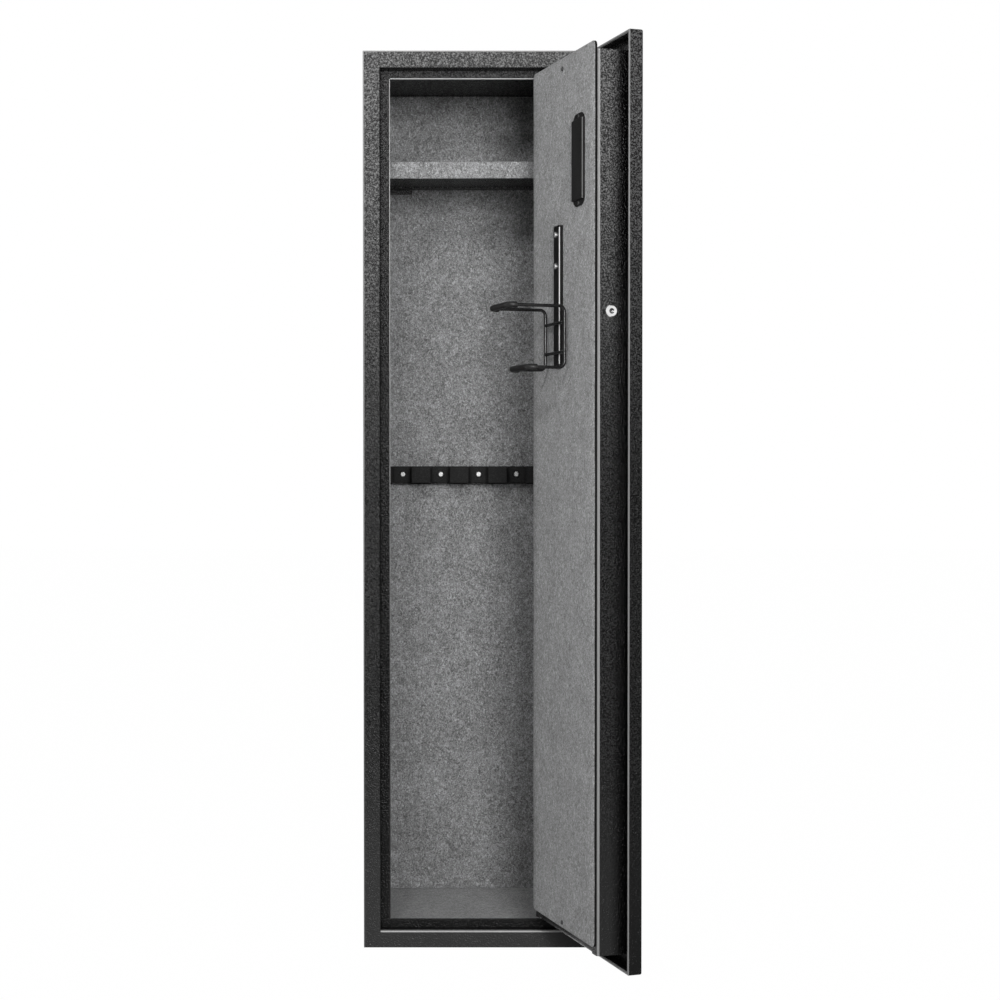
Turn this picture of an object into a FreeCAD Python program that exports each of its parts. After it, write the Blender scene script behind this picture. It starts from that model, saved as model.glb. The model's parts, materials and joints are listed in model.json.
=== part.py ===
import FreeCAD
import Part
import math
import os

from FreeCAD import Vector

# Tall narrow gun safe: folded steel cabinet, inset door on two concealed pivots.
# Millimetres. +X is to the right of the front, +Y goes into the cabinet, +Z is up.
# The origin is the centre of the cabinet's underside. The door stands open, and its
# pieces are made in the closed place and then turned about the pivot pins.

# Shared
over = 1.0
fold_share = 0.45
head_crown_share = 0.7
recess_reach_share = 0.55
recess_half_share = 0.13
recess_depth_share = 0.55

# Cabinet
case_width = 365.0
case_depth = 360.0
case_height = 1450.0
case_sheet = 2.5
case_edge_round = 2.0

# Folded front frame: face, rebate wall and door stop
frame_width = 27.0
frame_bend = 1.5
rebate_depth = 28.0
side_stop_width = 15.0
end_stop_width = 13.0
stop_hem_width = 7.0
stop_hem_thickness = 2.5

# Anchor holes
anchor_hole_radius = 5.5
back_anchor_half_x = 110.0
back_anchor_low_z = 250.0
back_anchor_below_top = 80.0
floor_anchor_half_x = 130.0
floor_anchor_front_y = -100.0
floor_anchor_rear_y = 110.0

# Lining
felt_thickness = 3.0
floor_board_thickness = 12.0
floor_felt_thickness = 3.5
lining_top_gap = 1.0

# Shelf
shelf_below_top = 165.0
shelf_front_setback = 80.0
shelf_sheet = 2.0
shelf_lip_height = 25.0
shelf_felt = 2.5
shelf_side_gap = 0.5
shelf_felt_round = 2.0
felt_round_share = 0.8
cleat_leg = 18.0
cleat_sheet = 2.0
rear_angle_drop = 10.0
rear_angle_reach = 24.0
rear_angle_relief_half = 120.0

# Barrel rest
rest_top_z = 782.0
rest_height = 32.0
rest_reach = 54.5
rest_sheet = 2.0
rest_end_gap = 0.5
rest_notch_count = 5
rest_notch_pitch = 68.0
rest_notch_width = 34.0
rest_notch_depth = 38.0
rest_notch_round = 8.0
rest_screw_share = 0.55
rest_screw_radius = 2.5
rest_screw_head_radius = 5.5
rest_screw_head_height = 3.2

# Door shell
door_gap = 3.0
door_sheet = 3.0
door_flange_depth = 22.5
door_flange_hem = 5.0
door_hem_depth = 6.0
door_corner_round = 3.0
door_edge_round = 2.5
open_angle = 108.8

# Door inner frame and liner
groove_width = 19.0
channel_depth = 64.0
channel_sheet = 2.0
channel_lip = 20.0
channel_bend = 5.0
channel_end_gap = 28.0
rail_lip = 22.0
liner_board = 3.0
liner_felt = 1.5
liner_side_inset = 2.0
liner_top_gap = 15.0
liner_bottom_gap = 40.0
liner_corner_round = 9.0
liner_screw_radius = 1.75
liner_screw_head_radius = 3.5
liner_screw_head_height = 1.6
liner_screw_above_edge = 8.0
liner_screw_below_rail = 4.0

# Door pivots
pivot_inset = 7.0
pin_radius = 3.5
pin_running_gap = 0.05
pin_past_bush = 1.0
bush_wall = 0.85
bush_length = 6.0
bush_flange_radius = 6.5
bush_flange_thickness = 1.0
pivot_block_width = 13.5
pivot_block_depth = 13.0
pivot_block_height = 20.0
running_gap = 0.3

# Locking bolt and its bar
bolt_below_top = 441.0
bolt_axis_depth = 43.0
bolt_radius = 9.0
bolt_stand = 4.0
bolt_length = 44.0
bolt_travel = 20.0
bolt_tip_chamfer = 1.2
bolt_socket_radius = 4.0
bolt_socket_depth = 6.0
bolt_running_gap = 0.05
bolt_guide_wall = 3.5
bolt_guide_length = 15.0
bolt_hole_gap = 0.5
bar_thickness = 4.0
bar_low = 15.0
bar_high = 25.0
bar_tongue_half = 7.0
bar_tongue_length = 12.0
bar_tail_past_spindle = 60.0
bar_guide_width = 10.0
bar_guide_wall = 5.0
bar_guide_skin = 2.7
bar_guide_leg = 11.0
bar_guide_offset = 42.0

# Knob, spindle and cam
spindle_from_channel = 103.5
spindle_radius = 5.0
spindle_gap = 0.05
spindle_hole_gap = 0.8
spindle_bush_wall = 3.0
spindle_bush_length = 8.0
cam_radius = 20.0
cam_thickness = 4.0
cam_gap = 2.0
cam_pin_radius = 3.0
cam_pin_arm = bolt_travel / math.sqrt(2.0)
cam_pin_reach = 1.5
cam_slot_gap = 0.6
knob_radius = 21.0
knob_length = 24.0
knob_gap = 0.6
knob_flutes = 12
knob_flute_radius = 3.0
knob_flute_out = 1.2
knob_edge_round = 2.5
knob_bore_depth = 14.0
knob_skirt_radius = 24.0
knob_skirt_height = 4.0

# Lock plate and solenoid
plate_depth = 26.0
plate_sheet = 2.0
plate_channel_gap = 8.5
plate_past_spindle = 92.0
plate_below_bolt = 87.0
plate_above_bolt = 57.0
plate_post_radius = 5.0
plate_post_inset = 8.0
solenoid_width = 24.0
solenoid_height = 34.0
solenoid_bore_gap = 0.2
solenoid_floor = 2.0
solenoid_under_plunger = 6.0
plunger_radius = 3.0
plunger_length = 34.0
plunger_end_gap = 2.0
plunger_travel = 4.0
plunger_from_tail = 4.0

# Outside lock panel
panel_width = 62.0
panel_below_bolt = 37.0
panel_above_bolt = 169.0
panel_thickness = 8.0
panel_round = 10.0
panel_edge_round = 2.5
scanner_above_bolt = 137.0
scanner_width = 24.0
scanner_height = 30.0
scanner_recess = 2.5
scanner_glass = 1.5
lamps_above_bolt = 103.0
lamp_radius = 2.0
lamp_pitch = 9.0
lamp_count = 3
lamp_length = 4.0
button_above_bolt = 85.0
button_radius = 7.0
button_gap = 0.3
button_stand = 2.0
button_travel = 1.5
button_flange = 1.4
button_lip = 2.6
button_edge_round = 1.0
switch_radius = 3.0
key_above_bolt = 53.0
key_case_radius = 9.5
key_case_length = 24.0
key_rim_width = 2.0
key_rim_thickness = 1.5
key_rim_round = 0.9
key_plug_radius = 6.0
key_plug_gap = 0.08
key_plug_recess = 0.5
key_slot_width = 1.6
key_slot_height = 8.0
key_slot_depth = 12.0
key_tail_length = 14.0
key_tail_width = 7.0
key_tail_thickness = 2.0
key_hole_gap = 0.3

# Circuit board and batteries
board_width = 50.0
board_above_bolt = 79.0
board_height = 72.0
board_thickness = 1.6
board_depth = 14.0
board_post_radius = 3.0
board_post_inset = 5.0
battery_from_channel = 62.5
battery_above_bolt = 230.0
cover_width = 45.0
cover_height = 120.0
cover_stand = 4.5
cover_tab = 9.0
cover_base = 1.5
cover_tab_round = 14.0
cover_edge_round = 1.2
cover_wall = 1.6
cover_screw_radius = 1.5
cover_screw_head_radius = 3.2
cover_screw_head_height = 1.4
tray_width = 36.0
tray_height = 114.0
tray_depth = 20.0
tray_wall = 1.5
tray_flange_gap = 0.2
cell_radius = 7.1
cell_length = 50.5
cell_pitch = 15.5
cell_pole_radius = 2.7
cell_pole_height = 1.0
contact_radius = 3.0
contact_spread = 1.6
lead_radius = 2.0
lead_bend = 10.0
lead_lap = 16.0
lead_edge_gap = 1.0
lead_drop = 4.0
lead_turn_height = 16.0
lead_tight_bend = 8.0

# Pistol rack
rack_x = 10.0
rack_channel_width = 25.0
rack_channel_depth = 6.3
rack_channel_sheet = 2.0
rack_channel_round = 1.0
rack_below_bolt = 74.0
rack_above_bolt = 141.0
rack_screws_below_end = (14.0, 62.0)
rack_screw_radius = 2.5
rack_screw_head_radius = 5.0
rack_screw_head_height = 5.0
wire_radius = 2.5
wire_bend = 9.0
rack_half_width = 42.0
rack_upper_above_bolt = 15.0
rack_upper_reach = 100.0
rack_lower_below_bolt = 78.0
rack_lower_reach = 68.0
rack_cross_inset = 24.0
sleeve_radius = 4.8
sleeve_past_bend = 3.0

# Places worked out from the sizes above
front_y = -case_depth / 2
rear_y = case_depth / 2
half_width = case_width / 2
inner_half = half_width - case_sheet
rebate_half = half_width - frame_width
door_half = rebate_half - door_gap
door_low = frame_width + door_gap
door_high = case_height - frame_width - door_gap
stop_rear = rebate_depth + case_sheet + stop_hem_thickness
floor_top = case_sheet + floor_board_thickness + floor_felt_thickness
ceiling = case_height - case_sheet
lined_half = inner_half - felt_thickness
lined_rear = rear_y - case_sheet - felt_thickness
channel_half = door_half - groove_width
channel_low = door_low + channel_end_gap
channel_high = door_high - channel_end_gap
board_rear = channel_depth + liner_board
felt_rear = board_rear + liner_felt
liner_half = channel_half - liner_side_inset
liner_low = door_low + liner_bottom_gap
liner_high = door_high - liner_top_gap
back_anchor_high_z = case_height - back_anchor_below_top
shelf_top_z = case_height - shelf_below_top
bolt_z = case_height - bolt_below_top
spindle_x = spindle_from_channel - channel_half
bar_tail_x = spindle_x + bar_tail_past_spindle
plate_left_x = plate_channel_gap + channel_lip - channel_half
plate_right_x = spindle_x + plate_past_spindle
plate_low_z = bolt_z - plate_below_bolt
plate_high_z = bolt_z + plate_above_bolt
panel_low_z = bolt_z - panel_below_bolt
panel_high_z = bolt_z + panel_above_bolt
scanner_z = bolt_z + scanner_above_bolt
lamp_z = bolt_z + lamps_above_bolt
button_z = bolt_z + button_above_bolt
key_z = bolt_z + key_above_bolt
board_low_z = bolt_z + board_above_bolt
board_high_z = board_low_z + board_height
battery_x = battery_from_channel - channel_half
battery_z = bolt_z + battery_above_bolt
rack_low_z = bolt_z - rack_below_bolt
rack_high_z = bolt_z + rack_above_bolt
rack_screw_zs = [rack_high_z - drop for drop in rack_screws_below_end]
rack_upper_z = bolt_z + rack_upper_above_bolt
rack_lower_z = bolt_z - rack_lower_below_bolt
pivot_x = door_half - pivot_inset
pivot_y = front_y + pivot_inset
plunger_x = bar_tail_x - plunger_from_tail


def depth(value):
    """Y of a plane that lies this far behind the cabinet's front."""
    return front_y + value


def box(x0, x1, d0, d1, z0, z1):
    """Block between two X, two depths behind the front and two Z."""
    return Part.makeBox(x1 - x0, d1 - d0, z1 - z0, Vector(x0, depth(d0), z0))


def rod(x, d, z, radius, length, direction):
    return Part.makeCylinder(radius, length, Vector(x, depth(d), z), direction)


INWARD = Vector(0, 1, 0)
OUTWARD = Vector(0, -1, 0)
UP = Vector(0, 0, 1)
LEFT = Vector(-1, 0, 0)


def fuse(shapes):
    whole = shapes[0]
    for shape in shapes[1:]:
        whole = whole.fuse(shape)
    return whole.removeSplitter()


def edges_where(shape, test):
    return [edge for edge in shape.Edges if test(edge.BoundBox)]


def along(bounds, axis):
    """True for a straight edge that runs along one axis only."""
    spans = {"x": bounds.XLength, "y": bounds.YLength, "z": bounds.ZLength}
    own = spans.pop(axis)
    return own > 0.5 and max(spans.values()) < 1e-4


def near(value, target):
    return abs(value - target) < 1e-3


def round_edges(shape, radius, test):
    return shape.makeFillet(radius, edges_where(shape, test))


def sliced(shape, axis, places):
    """Solids of a folded sheet, cut across at these places so that its flat lengths part."""
    bounds = shape.BoundBox
    low = Vector(bounds.XMin - over, bounds.YMin - over, bounds.ZMin - over)
    high = Vector(bounds.XMax + over, bounds.YMax + over, bounds.ZMax + over)
    stops = [getattr(low, axis)] + sorted(places) + [getattr(high, axis)]
    solids = []
    for start, end in zip(stops, stops[1:]):
        corner = Vector(low)
        size = high - low
        setattr(corner, axis, start)
        setattr(size, axis, end - start)
        solids += shape.common(Part.makeBox(size.x, size.y, size.z, corner)).Solids
    return solids


def mirrored(shape):
    return shape.mirror(Vector(0, 0, 0), Vector(1, 0, 0))


def opened(shape):
    """Turn a piece of the closed door about the pivot pins to its open place."""
    turned = shape.copy()
    turned.rotate(Vector(pivot_x, pivot_y, 0), UP, open_angle)
    return turned


def save(name, shapes):
    shape = shapes if isinstance(shapes, Part.Shape) else Part.makeCompound(shapes)
    for solid in shape.Solids:
        if not solid.isValid():
            print("not valid:", name)
    shape.exportStep("parts/" + name + ".step")
    print(name, len(shape.Solids), round(shape.Volume))


def save_on_door(name, shapes):
    group = shapes if isinstance(shapes, list) else [shapes]
    save(name, [opened(shape) for shape in group])


# Cabinet shell

def side_panel():
    return box(-half_width, -inner_half, case_sheet, case_depth, case_sheet, ceiling)


def back_panel():
    panel = box(-inner_half, inner_half, case_depth - case_sheet, case_depth, case_sheet, ceiling)
    return panel.cut(back_anchor_tools()).cut(rest_screw_tools(rest_screw_radius))


def end_panel(z):
    return box(-half_width, half_width, case_sheet, case_depth, z, z + case_sheet)


def back_anchor_tools():
    start = case_depth - case_sheet - felt_thickness - over
    return Part.makeCompound([
        rod(x, start, z, anchor_hole_radius, case_sheet + felt_thickness + 2 * over, INWARD)
        for x in (-back_anchor_half_x, back_anchor_half_x)
        for z in (back_anchor_low_z, back_anchor_high_z)])


def floor_anchor_tools():
    return Part.makeCompound([
        Part.makeCylinder(anchor_hole_radius, floor_top + 2 * over, Vector(x, y, -over), UP)
        for x in (-floor_anchor_half_x, floor_anchor_half_x)
        for y in (floor_anchor_front_y, floor_anchor_rear_y)])


def side_jamb():
    """Left frame member: face, rebate wall, door stop and the stop's hemmed edge."""
    inner = -rebate_half
    wall = inner - case_sheet
    stop = inner + side_stop_width
    low = frame_width + end_stop_width
    high = case_height - low
    face = box(-half_width, inner, 0, case_sheet, 0, case_height)
    rebate = box(wall, inner, case_sheet, rebate_depth, case_sheet, ceiling)
    flange = box(wall, stop, rebate_depth, rebate_depth + case_sheet, low, high)
    hem = box(stop - stop_hem_width, stop, rebate_depth + case_sheet, stop_rear, low, high)
    jamb = fuse([face, rebate, flange, hem])
    jamb = round_edges(jamb, case_edge_round, lambda b: near(b.YMax, front_y) and (
        near(b.XMax, -half_width) or near(b.ZMax, 0) or near(b.ZMin, case_height)))
    jamb = round_edges(jamb, frame_bend, lambda b: near(b.YMax, front_y)
                       and near(b.XMin, inner) and along(b, "z"))
    jamb = fuse([jamb] + welded_corners(inner))
    hem_round = fold_share * (case_sheet + stop_hem_thickness)
    jamb = round_edges(jamb, hem_round, lambda b: near(b.XMin, stop) and along(b, "z"))
    return Part.makeCompound(sliced(jamb, "y", jamb_folds()))


def welded_corners(inner):
    """Fill of the bend where the head and the sill butt against a side member."""
    ends = ((case_edge_round, frame_width), (case_height - frame_width, case_height - case_edge_round))
    return [box(inner - frame_bend, inner, 0, frame_bend, z0, z1) for z0, z1 in ends]


def jamb_folds():
    return [depth(case_sheet), depth(rebate_depth)]


def end_jamb():
    """Sill member of the frame, between the side members; the head is its mirror."""
    inner = frame_width
    stop = inner + end_stop_width
    face = box(-rebate_half, rebate_half, 0, case_sheet, 0, inner)
    rebate = box(-rebate_half, rebate_half, case_sheet, rebate_depth, inner - case_sheet, inner)
    flange = box(-rebate_half, rebate_half, rebate_depth, rebate_depth + case_sheet,
                 inner - case_sheet, stop)
    hem_low = stop - stop_hem_width
    clear = rebate_half - side_stop_width
    hem = box(-clear, clear, rebate_depth + case_sheet, stop_rear, hem_low, stop)
    jamb = fuse([face, rebate, flange, hem])
    jamb = round_edges(jamb, case_edge_round, lambda b: near(b.YMax, front_y) and near(b.ZMax, 0))
    jamb = round_edges(jamb, frame_bend, lambda b: near(b.YMax, front_y)
                       and near(b.ZMin, inner) and along(b, "x"))
    hem_round = fold_share * case_sheet
    jamb = round_edges(jamb, hem_round, lambda b: near(b.ZMin, stop) and along(b, "x")
                       and near(b.YMin, depth(rebate_depth)))
    hole = rod(pivot_x, pivot_inset, 0, pin_radius + pin_running_gap + bush_wall, 2 * inner, UP)
    return Part.makeCompound(sliced(jamb.cut(hole), "y", jamb_folds()))


def to_head(shape):
    return shape.mirror(Vector(0, 0, case_height / 2), UP)


def pivot_bush():
    """Lower flanged bush in the sill's rebate wall; it stands up by its flange."""
    outer = pin_radius + pin_running_gap + bush_wall
    top = frame_width
    sleeve = rod(pivot_x, pivot_inset, top - bush_length, outer, bush_length, UP)
    flange = rod(pivot_x, pivot_inset, top, bush_flange_radius, bush_flange_thickness, UP)
    bore = rod(pivot_x, pivot_inset, 0, pin_radius + pin_running_gap, 2 * top, UP)
    return fuse([sleeve, flange]).cut(bore)


# Lining

def floor_board():
    board = box(-inner_half, inner_half, rebate_depth + case_sheet, case_depth - case_sheet,
                case_sheet, case_sheet + floor_board_thickness)
    return board.cut(floor_anchor_tools())


def floor_felt():
    low = case_sheet + floor_board_thickness
    felt = box(-lined_half, lined_half, rebate_depth + case_sheet, case_depth - case_sheet - felt_thickness,
               low, floor_top)
    return felt.cut(floor_anchor_tools())


def back_felt():
    rear = case_depth - case_sheet
    felt = box(-inner_half, inner_half, rear - felt_thickness, rear,
               case_sheet + floor_board_thickness, ceiling - lining_top_gap)
    return felt.cut(back_anchor_tools()).cut(rest_screw_tools(rest_screw_radius))


def side_felt():
    return box(-inner_half, -lined_half, stop_rear, case_depth - case_sheet - felt_thickness,
               case_sheet + floor_board_thickness, ceiling - lining_top_gap)


# Shelf

shelf_half = lined_half - shelf_side_gap
shelf_rear_depth = case_depth - case_sheet - felt_thickness
shelf_plate_top = shelf_top_z - shelf_felt
shelf_plate_low = shelf_plate_top - shelf_sheet
shelf_steel_front = shelf_front_setback + shelf_felt


def shelf_tray():
    plate = box(-shelf_half, shelf_half, shelf_steel_front, shelf_rear_depth,
                shelf_plate_low, shelf_plate_top)
    lip = box(-shelf_half, shelf_half, shelf_steel_front, shelf_steel_front + shelf_sheet,
              shelf_plate_top - shelf_lip_height, shelf_plate_low)
    return fuse([plate, lip])


def shelf_cover():
    """Felt over the tray's top and round its front lip."""
    low = shelf_plate_top - shelf_lip_height
    top = box(-shelf_half, shelf_half, shelf_front_setback, shelf_rear_depth,
              shelf_plate_top, shelf_top_z)
    front = box(-shelf_half, shelf_half, shelf_front_setback, shelf_steel_front, low, shelf_plate_top)
    cover = fuse([top, front])
    size = min(shelf_felt_round, felt_round_share * shelf_felt)
    return round_edges(cover, size, lambda b: near(b.YMax, depth(shelf_front_setback))
                       and near(b.ZMin, shelf_top_z) and along(b, "x"))


def shelf_cleat():
    """Left angle under the tray, fixed to the side panel through the felt."""
    start = shelf_steel_front + shelf_sheet + 2 * running_gap
    end = shelf_rear_depth - rear_angle_reach - running_gap
    upright = box(-lined_half, -lined_half + cleat_sheet, start, end,
                  shelf_plate_low - cleat_leg, shelf_plate_low)
    ledge = box(-lined_half + cleat_sheet, -lined_half + cleat_leg, start, end,
                shelf_plate_low - cleat_sheet, shelf_plate_low)
    return fuse([upright, ledge])


def shelf_rear_angle():
    """Angle on the back wall; its upright leg is cut away in the middle for long barrels."""
    rear = shelf_rear_depth
    ledge = box(-shelf_half, shelf_half, rear - rear_angle_reach, rear - cleat_sheet,
                shelf_plate_low - cleat_sheet, shelf_plate_low)
    upright = box(-shelf_half, shelf_half, rear - cleat_sheet, rear,
                  shelf_plate_low - rear_angle_drop, shelf_plate_low)
    relief = box(-rear_angle_relief_half, rear_angle_relief_half, rear - cleat_sheet, rear,
                 shelf_plate_low - rear_angle_drop, shelf_plate_low - cleat_sheet)
    return fuse([ledge, upright]).cut(relief)


# Barrel rest

rest_half = lined_half - rest_end_gap
rest_low_z = rest_top_z - rest_height
rest_rear = case_depth - case_sheet - felt_thickness
rest_front = rest_rear - rest_reach
rest_bar_front = rest_front + rest_notch_depth
rest_screw_z = rest_low_z + rest_screw_share * rest_height
notch_xs = [(i - (rest_notch_count - 1) / 2) * rest_notch_pitch for i in range(rest_notch_count)]


def rest_screw_tools(radius):
    return Part.makeCompound([
        rod(x, rest_front, rest_screw_z, radius, case_depth - rest_front + over, INWARD)
        for x in notch_xs])


def rest_bracket():
    upright = box(-rest_half, rest_half, rest_rear - rest_sheet, rest_rear, rest_low_z, rest_top_z)
    ledge = box(-rest_half, rest_half, rest_bar_front + running_gap, rest_rear - rest_sheet,
                rest_low_z, rest_low_z + rest_sheet)
    return fuse([upright, ledge]).cut(rest_screw_tools(rest_screw_radius))


def rest_notches():
    cuts = []
    corner = min(rest_notch_round, fold_share * rest_notch_width)
    rear = depth(rest_bar_front)
    for x in notch_xs:
        notch = box(x - rest_notch_width / 2, x + rest_notch_width / 2, rest_front - over,
                    rest_bar_front, rest_low_z, rest_top_z + over)
        cuts.append(round_edges(notch, corner, lambda b: along(b, "z") and near(b.YMin, rear)))
    return Part.makeCompound(cuts)


def rest_pad():
    pad = box(-rest_half, rest_half, rest_front, rest_rear - rest_sheet,
              rest_low_z + rest_sheet, rest_top_z)
    return pad.cut(rest_notches()).cut(rest_screw_tools(rest_screw_radius))


def rest_screws():
    start = rest_bar_front
    screws = []
    for x in notch_xs:
        shank = rod(x, start, rest_screw_z, rest_screw_radius, case_depth - start, INWARD)
        screws.append(fuse([shank, pan_head(x, start, rest_screw_z, rest_screw_head_radius,
                                            rest_screw_head_height, OUTWARD)]))
    return screws


def pan_head(x, d, z, radius, height, direction):
    """Domed screw head standing on a plane, with a cross recess."""
    head = rod(x, d, z, radius, height, direction)
    crown = depth(d) + direction.y * height
    head = round_edges(head, head_crown_share * height,
                       lambda b: near(b.YMin, crown) and near(b.YMax, crown))
    slots = []
    reach = recess_reach_share * radius
    thin = recess_half_share * radius
    floor = recess_depth_share * height
    for half_x, half_z in ((reach, thin), (thin, reach)):
        start = Vector(x - half_x, crown, z - half_z)
        slot = Part.makeBox(2 * half_x, floor, 2 * half_z, start)
        if direction.y > 0:
            slot.translate(Vector(0, -floor, 0))
        slots.append(slot)
    return head.cut(Part.makeCompound(slots))


# Door shell and inner frame

def door_pan():
    """Outer door skin with a hemmed flange all round, standing free of the inner frame."""
    skin = box(-door_half, door_half, 0, door_flange_depth, door_low, door_high)
    skin = round_edges(skin, door_corner_round, lambda b: along(b, "y"))
    skin = round_edges(skin, door_edge_round, lambda b: near(b.YMax, front_y))
    hollow = inset_block(door_sheet, door_sheet, door_flange_depth - door_hem_depth)
    mouth = inset_block(door_flange_hem, door_flange_depth - door_hem_depth, door_flange_depth + over)
    pan = skin.cut(hollow).cut(mouth)
    rear = depth(door_flange_depth)
    hem_round = fold_share * door_flange_hem
    pan = round_edges(pan, hem_round, lambda b: near(b.YMin, rear)).cut(door_pan_holes())
    inner = door_half - door_flange_hem
    layers = sliced(pan, "y", [depth(door_sheet)])
    return Part.makeCompound(layers[:1] + sliced(Part.makeCompound(layers[1:]), "x", [-inner, inner]))


def inset_block(wall, d0, d1):
    return box(-door_half + wall, door_half - wall, d0, d1, door_low + wall, door_high - wall)


def door_pan_holes():
    through = door_sheet + 2 * over
    pin_hole = pin_radius + pin_running_gap
    return Part.makeCompound([
        rod(spindle_x, -over, bolt_z, spindle_radius + spindle_hole_gap, through, INWARD),
        rod(spindle_x, -over, key_z, key_case_radius + key_hole_gap, through, INWARD),
        rod(spindle_x, -over, button_z, button_radius + button_flange + button_gap, through, INWARD),
        rod(pivot_x, pivot_inset, door_low - over, pin_hole, door_sheet + 2 * over, UP),
        rod(pivot_x, pivot_inset, door_high - door_sheet - over, pin_hole, door_sheet + 2 * over, UP)])


def folded_channel(x0, x1, z0, z1, open_side):
    """Channel against the door skin: the web faces outward and two lips turn inward."""
    outer = box(x0, x1, door_sheet, channel_depth, z0, z1)
    t = channel_sheet
    shift = {"right": (t, over, 0, 0), "up": (0, 0, t, over), "down": (0, 0, -over, -t)}[open_side]
    a, b, c, d = shift
    inner = box(x0 + a, x1 + b, door_sheet + t, channel_depth - t, z0 + c, z1 + d)
    axis = "z" if open_side == "right" else "x"
    rear = depth(channel_depth)
    inner_rear = depth(channel_depth - t)
    web = {"right": ("x", x0), "up": ("z", z0), "down": ("z", z1)}[open_side]
    inner_web = {"right": x0 + t, "up": z0 + t, "down": z1 - t}[open_side]

    def at_bend(bounds, y, place):
        other = bounds.XMin if web[0] == "x" else bounds.ZMin
        return along(bounds, axis) and near(bounds.YMin, y) and near(other, place)

    outer = round_edges(outer, channel_bend, lambda b: at_bend(b, rear, web[1]))
    inner = round_edges(inner, channel_bend - t, lambda b: at_bend(b, inner_rear, inner_web))
    folds = [depth(door_sheet + t), depth(channel_depth - channel_bend)]
    return Part.makeCompound(sliced(outer.cut(inner), "y", folds))


def free_channel():
    channel = folded_channel(-channel_half, -channel_half + channel_lip, channel_low,
                             channel_high, "right")
    hole = rod(-channel_half - over, bolt_axis_depth, bolt_z, bolt_radius + bolt_hole_gap,
               channel_sheet + 2 * over, Vector(1, 0, 0))
    return channel.cut(hole)


def hinge_channel():
    return mirrored(folded_channel(-channel_half, -channel_half + channel_lip, channel_low,
                                   channel_high, "right"))


def bottom_rail():
    half = channel_half - channel_lip
    return folded_channel(-half, half, channel_low, channel_low + rail_lip, "up")


def top_rail():
    half = channel_half - channel_lip
    return folded_channel(-half, half, channel_high - rail_lip, channel_high, "down")


def liner_sheet(d0, d1):
    sheet = box(-liner_half, liner_half, d0, d1, liner_low, liner_high)
    sheet = round_edges(sheet, liner_corner_round, lambda b: along(b, "y"))
    window = box(battery_x - tray_width / 2, battery_x + tray_width / 2, d0 - over, d1 + over,
                 battery_z - tray_height / 2, battery_z + tray_height / 2)
    start = d0 - over
    through = d1 - d0 + 2 * over
    holes = [rod(x, start, z, liner_screw_radius, through, INWARD) for x, z in liner_screw_places()]
    holes += [rod(battery_x, start, z, cover_screw_radius, through, INWARD) for z in cover_screw_zs()]
    holes += [rod(rack_x, start, z, rack_screw_radius, through, INWARD) for z in rack_screw_zs]
    return sheet.cut(window).cut(Part.makeCompound(holes))


def liner_screw_places():
    return [(0.0, channel_high - liner_screw_below_rail), (0.0, liner_low + liner_screw_above_edge)]


def liner_screws():
    screws = []
    for x, z in liner_screw_places():
        shank = rod(x, felt_rear, z, liner_screw_radius, felt_rear - channel_depth, OUTWARD)
        head = rod(x, felt_rear, z, liner_screw_head_radius, liner_screw_head_height, INWARD)
        crown = depth(felt_rear + liner_screw_head_height)
        head = round_edges(head, head_crown_share * liner_screw_head_height,
                           lambda b: near(b.YMin, crown) and near(b.YMax, crown))
        screws.append(fuse([shank, head]))
    return screws


# Pivots carried by the door

def pivot_block(low):
    right = door_half - door_sheet
    block = box(right - pivot_block_width, right, door_sheet, door_sheet + pivot_block_depth,
                low, low + pivot_block_height)
    return block.cut(rod(pivot_x, pivot_inset, low - over, pin_radius, pivot_block_height + 2 * over, UP))


def pivot_blocks():
    return [pivot_block(door_low + door_sheet), pivot_block(door_high - door_sheet - pivot_block_height)]


def pivot_pins():
    reach = door_gap + bush_length + pin_past_bush
    length = reach + door_sheet + pivot_block_height
    lower = rod(pivot_x, pivot_inset, door_low - reach, pin_radius, length, UP)
    upper = rod(pivot_x, pivot_inset, door_high + reach - length, pin_radius, length, UP)
    return [lower, upper]


def thrust_washer():
    low = frame_width + bush_flange_thickness
    washer = rod(pivot_x, pivot_inset, low, bush_flange_radius, door_low - low, UP)
    bore = pin_radius + pin_running_gap
    return washer.cut(rod(pivot_x, pivot_inset, low - over, bore, door_gap + 2 * over, UP))


# Locking bolt, bar and guides

bolt_tip_x = -channel_half - bolt_stand
bolt_inner_x = bolt_tip_x + bolt_length
bar_low_z = bolt_z - bar_low
bar_high_z = bolt_z + bar_high
bar_front = bolt_axis_depth - bar_thickness / 2
bar_rear = bolt_axis_depth + bar_thickness / 2


def locking_bolt():
    bolt = rod(bolt_inner_x, bolt_axis_depth, bolt_z, bolt_radius, bolt_length, LEFT)
    bolt = bolt.makeChamfer(bolt_tip_chamfer, edges_where(
        bolt, lambda b: near(b.XMin, bolt_tip_x) and near(b.XMax, bolt_tip_x)))
    socket = rod(bolt_tip_x + bolt_socket_depth, bolt_axis_depth, bolt_z, bolt_socket_radius,
                 bolt_socket_depth + over, LEFT)
    slot = box(bolt_inner_x - bar_tongue_length, bolt_inner_x + over, bar_front, bar_rear,
               bolt_z - bolt_radius - over, bolt_z + bolt_radius + over)
    return bolt.cut(socket).cut(slot)


def bolt_bar():
    plate = box(bolt_inner_x, bar_tail_x, bar_front, bar_rear, bar_low_z, bar_high_z)
    tongue = box(bolt_inner_x - bar_tongue_length, bolt_inner_x, bar_front, bar_rear,
                 bolt_z - bar_tongue_half, bolt_z + bar_tongue_half)
    return fuse([plate, tongue]).cut(cam_slot())


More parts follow.
